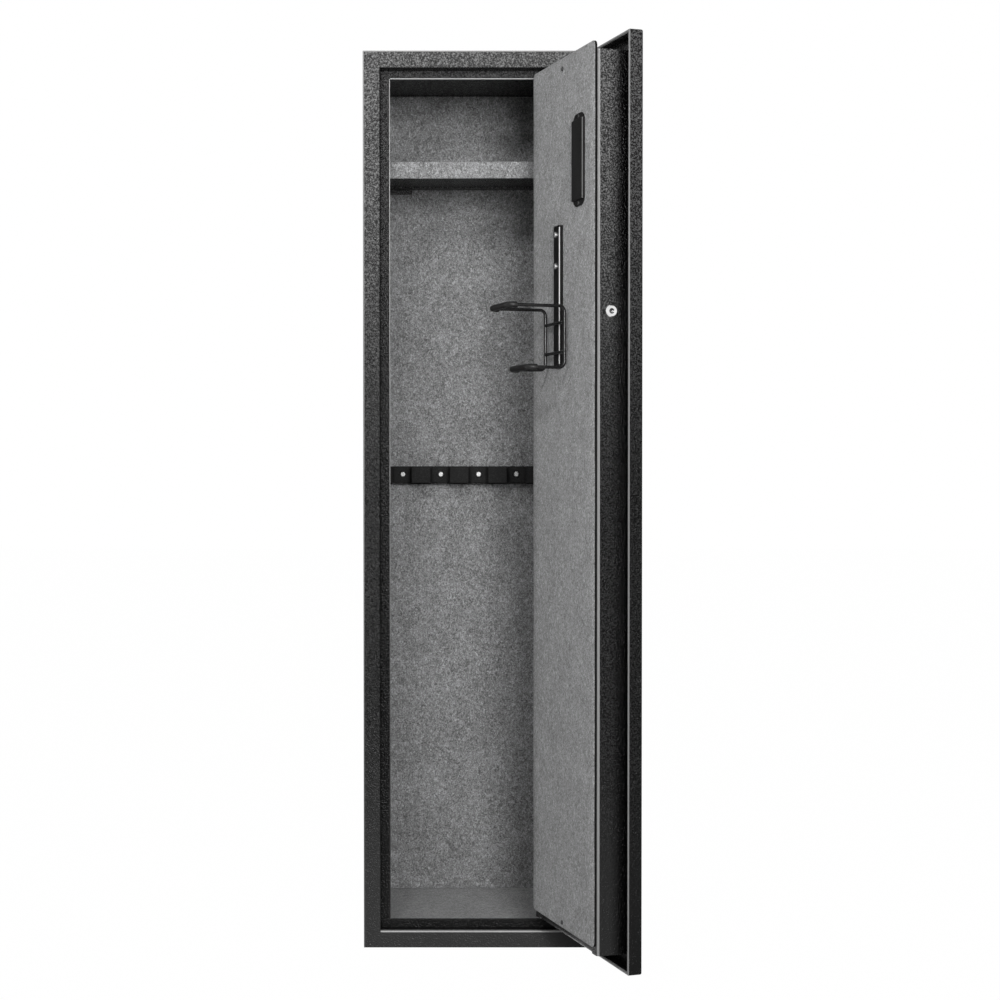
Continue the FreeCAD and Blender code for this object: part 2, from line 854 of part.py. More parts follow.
def cam_slot():
    """Upright slot that the cam's pin works in; the pin rises and falls as it swings over."""
    half = bolt_travel / 2
    radius = cam_pin_radius + cam_slot_gap
    x = spindle_x + half
    low = bolt_z + half - cam_slot_gap
    high = bolt_z + cam_pin_arm + cam_slot_gap
    start = bar_front - over
    length = bar_thickness + 2 * over
    return fuse([rod(x, start, low, radius, length, INWARD), rod(x, start, high, radius, length, INWARD),
                 box(x - radius, x + radius, start, start + length, low, high)])


def bolt_guide():
    start = -channel_half + channel_sheet
    outer = bolt_radius + bolt_running_gap + bolt_guide_wall
    sleeve = rod(start + bolt_guide_length, bolt_axis_depth, bolt_z, outer, bolt_guide_length, LEFT)
    bore = rod(start + bolt_guide_length + over, bolt_axis_depth, bolt_z, bolt_radius + bolt_running_gap,
               bolt_guide_length + 2 * over, LEFT)
    return sleeve.cut(bore)


def bar_guide(x):
    half = bar_guide_width / 2
    gap = running_gap
    skin = bar_guide_skin
    block = box(x - half, x + half, bar_front - gap - skin, bar_rear + gap + skin,
                bar_low_z - gap - bar_guide_wall, bar_high_z + gap + bar_guide_wall)
    way = box(x - half - over, x + half + over, bar_front - gap, bar_rear + gap,
              bar_low_z - gap, bar_high_z + gap)
    foot_low = bar_low_z - gap - bar_guide_wall
    foot = box(x - half, x + half, plate_depth + plate_sheet, bar_front - gap - skin,
               foot_low, foot_low + bar_guide_leg)
    return fuse([block, foot]).cut(way)


def bar_guides():
    return [bar_guide(spindle_x - bar_guide_offset), bar_guide(spindle_x + bar_guide_offset)]


# Lock plate

def lock_plate():
    plate = box(plate_left_x, plate_right_x, plate_depth, plate_depth + plate_sheet,
                plate_low_z, plate_high_z)
    hole = spindle_radius + spindle_gap + spindle_bush_wall
    return plate.cut(rod(spindle_x, plate_depth - over, bolt_z, hole, plate_sheet + 2 * over, INWARD))


def lock_posts():
    xs = (plate_left_x + plate_post_inset, plate_right_x - plate_post_inset)
    zs = (plate_low_z + plate_post_inset, plate_high_z - plate_post_inset)
    return [rod(x, door_sheet, z, plate_post_radius, plate_depth - door_sheet, INWARD)
            for x in xs for z in zs]


def spindle_bush():
    radius = spindle_radius + spindle_gap
    start = plate_depth + plate_sheet - spindle_bush_length
    sleeve = rod(spindle_x, start, bolt_z, radius + spindle_bush_wall, spindle_bush_length, INWARD)
    return sleeve.cut(rod(spindle_x, start - over, bolt_z, radius, spindle_bush_length + 2 * over, INWARD))


cam_front = plate_depth + plate_sheet + cam_gap


def spindle_cam():
    """Spindle with a disc on its end; the disc's pin stands up and to the hinge side when unlocked."""
    front = -panel_thickness - knob_gap - knob_bore_depth
    shaft = rod(spindle_x, front, bolt_z, spindle_radius, cam_front - front, INWARD)
    disc = rod(spindle_x, cam_front, bolt_z, cam_radius, cam_thickness, INWARD)
    side = bolt_travel / 2
    start = cam_front + cam_thickness
    pin = rod(spindle_x + side, start, bolt_z + side, cam_pin_radius,
              bar_rear + cam_pin_reach - start, INWARD)
    return fuse([shaft, disc, pin])


def knob():
    front = -panel_thickness - knob_gap
    skirt = rod(spindle_x, front, bolt_z, knob_skirt_radius, knob_skirt_height, OUTWARD)
    body = rod(spindle_x, front - knob_skirt_height, bolt_z, knob_radius,
               knob_length - knob_skirt_height, OUTWARD)
    whole = fuse([skirt, body])
    crown = depth(front - knob_length)
    whole = round_edges(whole, knob_edge_round, lambda b: near(b.YMin, crown) and near(b.YMax, crown))
    flutes = []
    arm = knob_radius + knob_flute_out
    for i in range(knob_flutes):
        turn = 2 * math.pi * (i + 0.5) / knob_flutes
        flutes.append(rod(spindle_x + arm * math.cos(turn), front - knob_skirt_height,
                          bolt_z + arm * math.sin(turn), knob_flute_radius, knob_length, OUTWARD))
    bore = rod(spindle_x, front + over, bolt_z, spindle_radius, knob_bore_depth + over, OUTWARD)
    return whole.cut(Part.makeCompound(flutes)).cut(bore)


# Solenoid

solenoid_low_z = bar_low_z - plunger_end_gap - plunger_length - solenoid_under_plunger


def solenoid():
    half = solenoid_width / 2
    reach = bolt_axis_depth - plate_depth - plate_sheet
    top = solenoid_low_z + solenoid_height
    body = box(plunger_x - half, plunger_x + half, plate_depth + plate_sheet,
               bolt_axis_depth + reach, solenoid_low_z, top)
    bore_low = solenoid_low_z + solenoid_floor
    bore = rod(plunger_x, bolt_axis_depth, bore_low, plunger_radius + solenoid_bore_gap,
               solenoid_height, UP)
    return body.cut(bore)


def plunger():
    top = bar_low_z - plunger_end_gap
    return rod(plunger_x, bolt_axis_depth, top - plunger_length, plunger_radius, plunger_length, UP)


# Outside lock panel

button_step = -panel_thickness + button_lip
button_rear = button_step + running_gap + button_flange
key_front = -panel_thickness - key_rim_thickness


def lock_panel():
    half = panel_width / 2
    body = box(spindle_x - half, spindle_x + half, -panel_thickness, 0, panel_low_z, panel_high_z)
    body = round_edges(body, panel_round, lambda b: along(b, "y"))
    body = round_edges(body, panel_edge_round, lambda b: near(b.YMax, depth(-panel_thickness)))
    full = panel_thickness + 2 * over
    front = -panel_thickness - over
    seat = box(spindle_x - scanner_width / 2, spindle_x + scanner_width / 2, front,
               -panel_thickness + scanner_recess, scanner_z - scanner_height / 2,
               scanner_z + scanner_height / 2)
    tools = [seat,
             rod(spindle_x, front, bolt_z, spindle_radius + spindle_hole_gap, full, INWARD),
             rod(spindle_x, front, key_z, key_case_radius, full, INWARD),
             rod(spindle_x, front, button_z, button_radius + button_gap, full, INWARD),
             rod(spindle_x, button_step, button_z, button_radius + button_flange + button_gap,
                 full, INWARD)]
    tools += [rod(x, front, lamp_z, lamp_radius, lamp_length + over, INWARD) for x in lamp_xs()]
    return body.cut(Part.makeCompound(tools))


def lamp_xs():
    return [spindle_x + (i - (lamp_count - 1) / 2) * lamp_pitch for i in range(lamp_count)]


def scanner_window():
    rear = -panel_thickness + scanner_recess
    return box(spindle_x - scanner_width / 2, spindle_x + scanner_width / 2, rear - scanner_glass,
               rear, scanner_z - scanner_height / 2, scanner_z + scanner_height / 2)


def lamps():
    return [rod(x, -panel_thickness, lamp_z, lamp_radius, lamp_length, INWARD) for x in lamp_xs()]


def open_button():
    """Sprung push button, kept in by a flange behind the panel's step."""
    front = -panel_thickness - button_stand
    cap = rod(spindle_x, front, button_z, button_radius, button_rear - front, INWARD)
    face = depth(front)
    cap = round_edges(cap, button_edge_round, lambda b: near(b.YMin, face) and near(b.YMax, face))
    flange = rod(spindle_x, button_rear - button_flange, button_z, button_radius + button_flange,
                 button_flange, INWARD)
    return fuse([cap, flange])


def button_seat():
    """Switch block behind the button, on the circuit board."""
    start = button_rear + button_travel + running_gap
    return rod(spindle_x, start, button_z, switch_radius, board_depth - start, INWARD)


def key_case():
    start = key_front
    case = rod(spindle_x, start, key_z, key_case_radius, key_case_length, INWARD)
    rim = rod(spindle_x, start, key_z, key_case_radius + key_rim_width, key_rim_thickness, INWARD)
    rim = round_edges(rim, key_rim_round,
                      lambda b: near(b.YMin, depth(start)) and near(b.YMax, depth(start)))
    bore = rod(spindle_x, start - over, key_z, key_plug_radius + key_plug_gap,
               key_case_length + 2 * over, INWARD)
    return fuse([case, rim]).cut(bore)


def key_plug():
    start = key_front + key_plug_recess
    end = key_front + key_case_length + running_gap
    plug = rod(spindle_x, start, key_z, key_plug_radius, end - start, INWARD)
    slot = box(spindle_x - key_slot_width / 2, spindle_x + key_slot_width / 2, start - over,
               start + key_slot_depth, key_z - key_slot_height / 2, key_z + key_slot_height / 2)
    tail = box(spindle_x - key_tail_width / 2, spindle_x + key_tail_width / 2, end,
               end + key_tail_thickness, key_z - key_tail_length, key_z + key_tail_width / 2)
    return fuse([plug, tail]).cut(slot)


# Circuit board and batteries

def control_board():
    half = board_width / 2
    return box(spindle_x - half, spindle_x + half, board_depth, board_depth + board_thickness,
               board_low_z, board_high_z)


def board_posts():
    half = board_width / 2 - board_post_inset
    return [rod(x, door_sheet, z, board_post_radius, board_depth - door_sheet, INWARD)
            for x in (spindle_x - half, spindle_x + half)
            for z in (board_low_z + board_post_inset, board_high_z - board_post_inset)]


def battery_tray():
    """Open box let into the liner; its mouth is level with the felt."""
    half = tray_width / 2 - tray_flange_gap
    tall = tray_height / 2 - tray_flange_gap
    front = felt_rear - tray_depth
    body = box(battery_x - half, battery_x + half, front, felt_rear, battery_z - tall, battery_z + tall)
    t = tray_wall
    hollow = box(battery_x - half + t, battery_x + half - t, front + t, felt_rear + over,
                 battery_z - tall + t, battery_z + tall - t)
    return body.cut(hollow)


def battery_cells():
    d = felt_rear - tray_depth + tray_wall + cell_radius + running_gap
    shift = cell_length / 2 + running_gap
    cells = []
    for x in (battery_x - cell_pitch / 2, battery_x + cell_pitch / 2):
        for z in (battery_z - shift, battery_z + shift):
            low = z - cell_length / 2
            barrel = cell_length - cell_pole_height
            cells.append(fuse([rod(x, d, low, cell_radius, barrel, UP),
                               rod(x, d, low + barrel, cell_pole_radius, cell_pole_height, UP)]))
    return cells


def battery_contacts():
    """Spring contacts between the tray's end walls and the cells."""
    d = felt_rear - tray_depth + tray_wall + cell_radius + running_gap
    wall = battery_z - tray_height / 2 + tray_flange_gap + tray_wall
    cell_end = battery_z - running_gap - cell_length
    contacts = []
    for x in (battery_x - cell_pitch / 2, battery_x + cell_pitch / 2):
        lower = Part.makeCone(contact_radius * contact_spread, contact_radius, cell_end - wall,
                              Vector(x, depth(d), wall), UP)
        upper = lower.mirror(Vector(0, 0, battery_z), UP)
        contacts += [lower, upper]
    return contacts


def battery_cover():
    """Raised cover with a rounded screw tab above and below."""
    half = cover_width / 2
    tall = cover_height / 2
    outer = tall + cover_tab
    base = box(battery_x - half, battery_x + half, felt_rear, felt_rear + cover_base,
               battery_z - outer, battery_z + outer)
    base = round_edges(base, cover_tab_round, lambda b: along(b, "y"))
    top = felt_rear + cover_stand
    raised = box(battery_x - half, battery_x + half, felt_rear + cover_base, top,
                 battery_z - tall, battery_z + tall)
    raised = round_edges(raised, cover_edge_round, lambda b: near(b.YMin, depth(top)))
    hollow = box(battery_x - half + cover_wall, battery_x + half - cover_wall, felt_rear - over,
                 top - cover_wall, battery_z - tall + cover_wall, battery_z + tall - cover_wall)
    floor = box(battery_x - half, battery_x + half, felt_rear, felt_rear + cover_base,
                battery_z - tall, battery_z + tall)
    holes = [rod(battery_x, felt_rear - over, z, cover_screw_radius, cover_stand + 2 * over, INWARD)
             for z in cover_screw_zs()]
    return fuse([base, floor, raised]).cut(hollow).cut(Part.makeCompound(holes))


def cover_screw_zs():
    reach = cover_height / 2 + cover_tab / 2
    return (battery_z - reach, battery_z + reach)


def cover_screws():
    screws = []
    start = felt_rear + cover_base
    for z in cover_screw_zs():
        shank = rod(battery_x, channel_depth, z, cover_screw_radius, start - channel_depth, INWARD)
        screws.append(fuse([shank, pan_head(battery_x, start, z, cover_screw_head_radius,
                                            cover_screw_head_height, INWARD)]))
    return screws


# Wires

def bent_wire(points, bend, radius):
    """Round wire along straight runs joined by tangent arcs of one bend radius."""
    edges = []
    start = points[0]
    for before, corner, after in zip(points, points[1:], points[2:]):
        way_in = (corner - before).normalize()
        way_out = (after - corner).normalize()
        turn = way_in.getAngle(way_out)
        reach = bend * math.tan(turn / 2)
        arc_start = corner - way_in * reach
        arc_end = corner + way_out * reach
        inside = (way_out - way_in).normalize()
        centre = corner + inside * (bend / math.cos(turn / 2))
        edges += straight_run(start, arc_start)
        edges.append(Part.Arc(arc_start, centre - inside * bend, arc_end).toShape())
        start = arc_end
    edges += straight_run(start, points[-1])
    path = Part.Wire(edges)
    heading = (points[1] - points[0]).normalize()
    ring = Part.Wire([Part.Circle(points[0], heading, radius).toShape()])
    return path.makePipeShell([ring], True, False)


def straight_run(start, end):
    """Straight edge between two arcs, or nothing where the arcs meet."""
    if start.distanceToPoint(end) < 0.01:
        return []
    return [Part.LineSegment(start, end).toShape()]


def place(x, d, z):
    return Vector(x, depth(d), z)


def battery_lead():
    """Lead from the battery tray's underside to the circuit board's upper end."""
    start_d = felt_rear - tray_depth / 2
    end_d = board_depth + board_thickness + lead_radius
    tray_end = battery_z - tray_height / 2 + tray_flange_gap
    x_end = spindle_x - board_width / 4
    top = tray_end - lead_bend - lead_drop
    points = [place(battery_x, start_d, tray_end), place(battery_x, start_d, top),
              place(x_end, start_d, top), place(x_end, end_d, top),
              place(x_end, end_d, board_high_z - lead_lap)]
    return bent_wire(points, lead_bend, lead_radius)


def solenoid_lead():
    """Lead from the circuit board's lower end down to the solenoid."""
    start_d = board_depth + board_thickness + lead_radius
    x = spindle_x + board_width / 2 - lead_radius - lead_edge_gap
    x_low = plunger_x + solenoid_width / 2 + lead_radius
    end_z = solenoid_low_z + solenoid_height / 2
    d_low = bolt_axis_depth
    turn_z = plate_high_z + lead_turn_height
    points = [place(x, start_d, board_low_z + lead_lap), place(x, start_d, turn_z),
              place(x_low, start_d, turn_z), place(x_low, d_low, turn_z),
              place(x_low, d_low, end_z)]
    return bent_wire(points, lead_tight_bend, lead_radius)


# Pistol rack

web_top = felt_rear + rack_channel_depth
wire_depth = web_top + wire_radius


def rack_channel():
    half = rack_channel_width / 2
    t = rack_channel_sheet
    outer = box(rack_x - half, rack_x + half, felt_rear, web_top, rack_low_z, rack_high_z)
    outer = round_edges(outer, rack_channel_round, lambda b: along(b, "z") and near(b.YMin, depth(web_top)))
    inner = box(rack_x - half + t, rack_x + half - t, felt_rear - over, web_top - t,
                rack_low_z - over, rack_high_z + over)
    holes = [rod(rack_x, felt_rear, z, rack_screw_radius, rack_channel_depth + over, INWARD)
             for z in rack_screw_zs]
    return outer.cut(inner).cut(Part.makeCompound(holes))


def rack_screws():
    screws = []
    for z in rack_screw_zs:
        shank = rod(rack_x, channel_depth, z, rack_screw_radius, web_top - channel_depth, INWARD)
        screws.append(fuse([shank, pan_head(rack_x, web_top, z, rack_screw_head_radius,
                                            rack_screw_head_height, INWARD)]))
    return screws


def rack_loop(z, reach):
    """U of wire standing out level from the door; its arms end at the uprights' bends."""
    start = wire_depth + wire_bend
    return bent_wire(loop_points(z, start, loop_end(reach)), wire_bend, wire_radius)


def loop_end(reach):
    return felt_rear + reach - wire_radius


def loop_points(z, start, end):
    left = rack_x - rack_half_width
    right = rack_x + rack_half_width
    return [place(left, start, z), place(left, end, z), place(right, end, z), place(right, start, z)]


def rack_sleeve(z, reach):
    """Thick sleeve over a loop's outer bar and both of its bends."""
    end = loop_end(reach)
    points = loop_points(z, end - wire_bend - sleeve_past_bend, end)
    sleeve = bent_wire(points, wire_bend, sleeve_radius)
    return sleeve.cut(bent_wire(points, wire_bend, wire_radius))


def rack_upright(side):
    x = rack_x + side * rack_half_width
    start = wire_depth + wire_bend
    points = [place(x, start, rack_upper_z), place(x, wire_depth, rack_upper_z),
              place(x, wire_depth, rack_lower_z), place(x, start, rack_lower_z)]
    return bent_wire(points, wire_bend, wire_radius)


def rack_crosses():
    """Straight wires between the uprights, lying across the channel."""
    inner = rack_half_width - wire_radius
    zs = (rack_upper_z - rack_cross_inset, rack_lower_z + rack_cross_inset)
    return [Part.makeCylinder(wire_radius, 2 * inner, place(rack_x - inner, wire_depth, z),
                              Vector(1, 0, 0)) for z in zs]


def build():
    os.makedirs("parts", exist_ok=True)
    save("left_panel", side_panel())
    save("right_panel", mirrored(side_panel()))
    save("back_panel", back_panel())
    save("top_panel", end_panel(ceiling))
    save("base_panel", end_panel(0).cut(floor_anchor_tools()))
    save("left_jamb", side_jamb())
    save("right_jamb", mirrored(side_jamb()))
    save("sill_jamb", end_jamb())
    save("head_jamb", to_head(end_jamb()))
    save("pivot_bushes", [pivot_bush(), to_head(pivot_bush())])
    save("floor_board", floor_board())
    save("floor_felt", floor_felt())
    save("back_felt", back_felt())
    save("side_felts", [side_felt(), mirrored(side_felt())])
    save("shelf_tray", shelf_tray())
    save("shelf_felt", shelf_cover())
    save("shelf_cleats", [shelf_cleat(), mirrored(shelf_cleat())])
    save("shelf_rear_angle", shelf_rear_angle())
    save("rest_bracket", rest_bracket())
    save("rest_pad", rest_pad())
    save("rest_screws", rest_screws())
    save_on_door("door_pan", door_pan())
    save_on_door("free_side_channel", free_channel())
    save_on_door("hinge_side_channel", hinge_channel())
    save_on_door("door_rails", [bottom_rail(), top_rail()])
    save_on_door("liner_board", liner_sheet(channel_depth, board_rear))
    save_on_door("liner_felt", liner_sheet(board_rear, felt_rear))
    save_on_door("liner_screws", liner_screws() + cover_screws())
    save_on_door("pivot_blocks", pivot_blocks())
    save_on_door("pivot_pins", pivot_pins())
    save_on_door("thrust_washer", thrust_washer())
    save_on_door("locking_bolt", locking_bolt())
    save_on_door("bolt_bar", bolt_bar())
    save_on_door("bolt_guide", bolt_guide())
    save_on_door("bar_guides", bar_guides())
    save_on_door("lock_plate", lock_plate())
    save_on_door("lock_posts", lock_posts() + board_posts())
    save_on_door("spindle_bush", spindle_bush())
    save_on_door("spindle_cam", spindle_cam())
    save_on_door("knob", knob())
    save_on_door("solenoid", solenoid())
    save_on_door("plunger", plunger())
    save_on_door("lock_panel", lock_panel())
    save_on_door("scanner_window", scanner_window())
    save_on_door("lamps", lamps())
    save_on_door("open_button", open_button())
    save_on_door("key_case", key_case())
    save_on_door("key_plug", key_plug())
    save_on_door("control_board", [control_board(), button_seat()])
    save_on_door("battery_tray", battery_tray())
    save_on_door("battery_cells", battery_cells())
    save_on_door("battery_contacts", battery_contacts())
    save_on_door("battery_cover", battery_cover())
    save_on_door("rack_channel", rack_channel())
    save_on_door("rack_upper_loop", rack_loop(rack_upper_z, rack_upper_reach))
    save_on_door("rack_lower_loop", rack_loop(rack_lower_z, rack_lower_reach))
    save_on_door("rack_uprights", [rack_upright(-1), rack_upright(1)] + rack_crosses())
    save_on_door("rack_sleeves", [rack_sleeve(rack_upper_z, rack_upper_reach),
                                  rack_sleeve(rack_lower_z, rack_lower_reach)])
    save_on_door("rack_screws", rack_screws())
    save_on_door("lock_leads", [battery_lead(), solenoid_lead()])


build()
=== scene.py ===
import json
import math

import bmesh
import bpy
from mathutils import Matrix, Vector, noise


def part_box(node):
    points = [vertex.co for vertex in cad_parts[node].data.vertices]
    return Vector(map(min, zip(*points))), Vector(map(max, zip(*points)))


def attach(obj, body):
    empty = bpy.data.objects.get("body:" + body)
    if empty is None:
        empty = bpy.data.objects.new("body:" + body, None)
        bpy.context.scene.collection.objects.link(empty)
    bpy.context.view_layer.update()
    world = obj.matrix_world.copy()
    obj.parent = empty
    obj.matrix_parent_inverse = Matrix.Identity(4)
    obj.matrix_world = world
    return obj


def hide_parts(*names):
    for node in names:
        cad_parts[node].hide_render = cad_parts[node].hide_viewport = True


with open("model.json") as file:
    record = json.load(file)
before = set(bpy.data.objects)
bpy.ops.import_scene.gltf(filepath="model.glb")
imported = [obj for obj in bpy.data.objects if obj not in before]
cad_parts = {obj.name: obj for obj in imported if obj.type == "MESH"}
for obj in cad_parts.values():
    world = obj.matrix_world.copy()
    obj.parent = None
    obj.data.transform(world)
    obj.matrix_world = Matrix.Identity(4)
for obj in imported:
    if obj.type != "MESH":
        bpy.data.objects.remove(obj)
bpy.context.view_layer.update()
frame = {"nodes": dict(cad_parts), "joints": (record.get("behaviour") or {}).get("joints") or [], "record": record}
nodes = frame["nodes"]  # CAD objects by name
record = frame["record"]
joints = {joint["name"]: joint for joint in frame["joints"]}
bpy.context.scene.view_settings.view_transform = "Standard"
print("frame loaded:", len(nodes), "nodes")


# camera and studio

cameraSetup = {
    "place": (0.0384, -3.1912, 0.7772),
    "pitchDown": 1.148,  # degrees
    "lens": 67.1,  # mm
    "sensor": 36,  # mm
    "shift": 0.0063,
}

# places and sizes in metres, powers in watts
studio = {
    "ambient": 0.27,
    "floorWhite": 0.995,
    "floorTone": 0.82,
    "floorSize": 30.0,
    "keyPlace": (-1.25, -3.4, 1.7),
    "keyAim": (0.05, -0.1, 0.75),
    "keySize": 1.0,
    "keyPower": 15.0,
    "topPlace": (-0.28, -1.75, 1.72),
    "topAim": (0.0, -0.15, 1.2),
    "topSize": 0.26,
    "topPower": 12.0,
    "fillPlace": (0.6, -3.7, 1.25),
    "fillAim": (0.0, 0.0, 0.75),
    "fillSize": 0.8,
    "fillPower": 112.0,
}


def aimed(place, target):
    return (Vector(target) - Vector(place)).to_track_quat("-Z", "Y").to_euler()


def makeCamera():
    data = bpy.data.cameras.new("viewCamera")
    data.lens = cameraSetup["lens"]
    data.sensor_width = cameraSetup["sensor"]
    data.shift_y = cameraSetup["shift"]
    data.dof.use_dof = False
    camera = bpy.data.objects.new("viewCamera", data)
    camera.location = cameraSetup["place"]
    camera.rotation_euler = (math.radians(90 - cameraSetup["pitchDown"]), 0, 0)
    bpy.context.scene.collection.objects.link(camera)
    bpy.context.scene.camera = camera


def makeLight(name):
    data = bpy.data.lights.new(name + "Light", "AREA")
    data.shape = "SQUARE"
    data.size = studio[name + "Size"]
    data.energy = studio[name + "Power"]
    light = bpy.data.objects.new(name + "Light", data)
    light.location = studio[name + "Place"]
    light.rotation_euler = aimed(studio[name + "Place"], studio[name + "Aim"])
    bpy.context.scene.collection.objects.link(light)


# shader maths

class Value:
    def __init__(self, finish, socket):
        self.finish = finish
        self.socket = socket

    def maths(self, operation, *others):
        inputs = dict(enumerate((self, *others)))
        return self.finish.node("Math", {"operation": operation}, inputs)

    def __add__(self, other):
        return self.maths("ADD", other)

    __radd__ = __add__

    def __mul__(self, other):
        return self.maths("MULTIPLY", other)

    __rmul__ = __mul__

    def __sub__(self, other):
        return self.maths("SUBTRACT", other)

    def __rsub__(self, other):
        return self.finish.node("Math", {"operation": "SUBTRACT"}, {0: other, 1: self})

    def absolute(self):
        return self.maths("ABSOLUTE")

    def near(self, target, reach):  # 1 within reach of the target, else 0
        return self.maths("COMPARE", target, reach)

    def clamped(self, low, high):
        return self.finish.node(
            "MapRange", {"interpolation_type": "SMOOTHSTEP"},
            {"Value": self, "From Min": low, "From Max": high}
        )

    def sibling(self, index):  # another output of the same node
        return Value(self.finish, self.socket.node.outputs[index])


class Finish:
    def __init__(self, tree):
        self.tree = tree
        self.tree.nodes.clear()

    def node(self, kind, settings=None, inputs=None, output=0):
        made = self.tree.nodes.new("ShaderNode" + kind)
        for key, value in (settings or {}).items():
            if key == "stops":
                self.setStops(made.color_ramp, value)
            else:
                setattr(made, key, value)
        for key, value in (inputs or {}).items():
            if isinstance(value, Value):
                self.tree.links.new(value.socket, made.inputs[key])
            else:
                made.inputs[key].default_value = value
        return Value(self, made.outputs[output]) if made.outputs else None

    def setStops(self, ramp, stops):
        while len(ramp.elements) > 1:
            ramp.elements.remove(ramp.elements[-1])
        ramp.elements[0].position = stops[0][0]
        ramp.elements[0].color = stops[0][1]
        for position, colour in stops[1:]:
            ramp.elements.new(position).color = colour

    def mapped(self, inputs):
        return self.node("Mapping", None, {"Vector": self.node("TexCoord", output="Object"), **inputs})

    def place(self, stretch=(1, 1, 1)):
        return self.mapped({"Scale": stretch})

    def doorPlace(self):  # where a point of the open door lies once the door is closed
        turn, pivot = doorHinge()
        shift = pivot - Matrix.Rotation(turn, 3, "Z") @ pivot
        return self.mapped({"Rotation": (0, 0, turn), "Location": shift})

    def axes(self, where=None):
        split = self.node("SeparateXYZ", None, {0: where or self.place()})
        return split, split.sibling(1), split.sibling(2)

    def noise(self, scale, detail=2.0, rough=0.5, where=None, twist=0.0):
        return self.node(
            "TexNoise", None,
            {"Vector": where or self.place(), "Scale": scale, "Detail": detail,
             "Roughness": rough, "Distortion": twist}
        )

    def cells(self, scale, feature="F1", smooth=None):
        inputs = {"Vector": self.place(), "Scale": scale}
        if smooth is not None:
            inputs["Smoothness"] = smooth
        return self.node("TexVoronoi", {"feature": feature}, inputs)

    def blend(self, factor, first, second):
        return self.node(
            "Mix", {"data_type": "RGBA"}, {0: factor, 6: first, 7: second}, output=2
        )

    def ramp(self, factor, *stops):
        return self.node("ValToRGB", {"stops": stops}, {0: factor})

    def bump(self, height, distance, strength=1.0):
        return self.node(
            "Bump", None, {"Height": height, "Distance": distance, "Strength": strength}
        )

    def surface(self, inputs):
        shader = self.node("BsdfPrincipled", None, inputs)
        self.node("OutputMaterial", None, {"Surface": shader})


def grey(level, warm=0.0):
    return (level * (1 + warm), level, level * (1 - warm), 1.0)


def layered(shares, layers):
    return sum(share * layer for share, layer in zip(shares, layers))


def newFinish(name):
    material = bpy.data.materials.new(name)
    material.use_nodes = True
    return material, Finish(material.node_tree)


seenRays = ("Is Camera Ray", "Is Glossy Ray", "Is Transmission Ray")


def seenWhite(finish):  # 1 for the rays that have to meet plain white
    return sum(finish.node("LightPath", output=name) for name in seenRays).clamped(0.0, 1.0)


def makeWorld():
    world = bpy.data.worlds.new("studioWorld")
    bpy.context.scene.world = world
    world.use_nodes = True
    finish = Finish(world.node_tree)
    strength = studio["ambient"] + (1 - studio["ambient"]) * seenWhite(finish)
    light = finish.node("Background", None, {"Color": grey(1.0), "Strength": strength})
    finish.node("OutputWorld", None, {"Surface": light})


def makeFloor():
    shape = bmesh.new()
    bmesh.ops.create_grid(shape, x_segments=1, y_segments=1, size=studio["floorSize"] / 2)
    floor = newPiece("studioFloor", shape)
    material, finish = newFinish("floorWhite")
    share = studio["floorWhite"] * seenWhite(finish)
    plain = finish.node("BsdfDiffuse", None, {"Color": grey(studio["floorTone"])})
    white = finish.node("Emission", None, {"Color": grey(1.0), "Strength": 1.0})
    mixed = finish.node("MixShader", None, {0: share, 1: plain, 2: white})
    finish.node("OutputMaterial", None, {"Surface": mixed})
    floor.data.materials.append(material)


# finishes

jambForm = {"stop": 0.0135, "inner": 0.1555}  # how far the stop stands over the lip; half the opening
doorForm = {"flange": 0.0225, "bend": 0.0618, "hem": 0.0016}  # depths behind the front; a fold's reach


def cadFront():
    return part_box("left_jamb")[0].y


def doorHinge():  # the turn that closes the door, and the point it turns about
    hinge = joints["door_swing"]
    return math.radians(hinge["range_deg"][0]), Vector(hinge["pos_m"])


def closedSpan(node):  # the corners of a door piece's box with the door closed
    angle, pivot = doorHinge()
    turn = Matrix.Rotation(angle, 3, "Z")
    places = [turn @ (vert.co - pivot) + pivot for vert in nodes[node].data.vertices]
    return [Vector([least(place[i] for place in places) for i in range(3)]) for least in (min, max)]


# painted highlights along edges and folds, and painted shade in the recesses and the gap behind them
rims = {
    "width": 0.0011,
    "fadeLow": 0.05,  # the painted highlights grow stronger between these heights, as if lit from above
    "fadeHigh": 1.35,
    "fadeLeast": 0.15,
    "rear": 0.02,  # the stop lies behind this depth
    "recessFrom": 0.003,
    "recessShade": 0.75,
    "edgeIn": 0.0014,
    "edgeHalf": 0.0006,
    "edgeHighlightTone": 0.26,
    "stopHighlightTone": 0.42,
    "sillHighlightTone": 0.38,
    "sillDepth": 0.0085,
    "foldShare": 0.8,
    "hemHighlightTone": 0.18,
    "bendHighlightTone": 0.21,
    "channelDark": 0.024,
    "channelLight": 0.046,
    "channelShade": 0.0005,
}


def plainRims(finish, tone):
    return tone


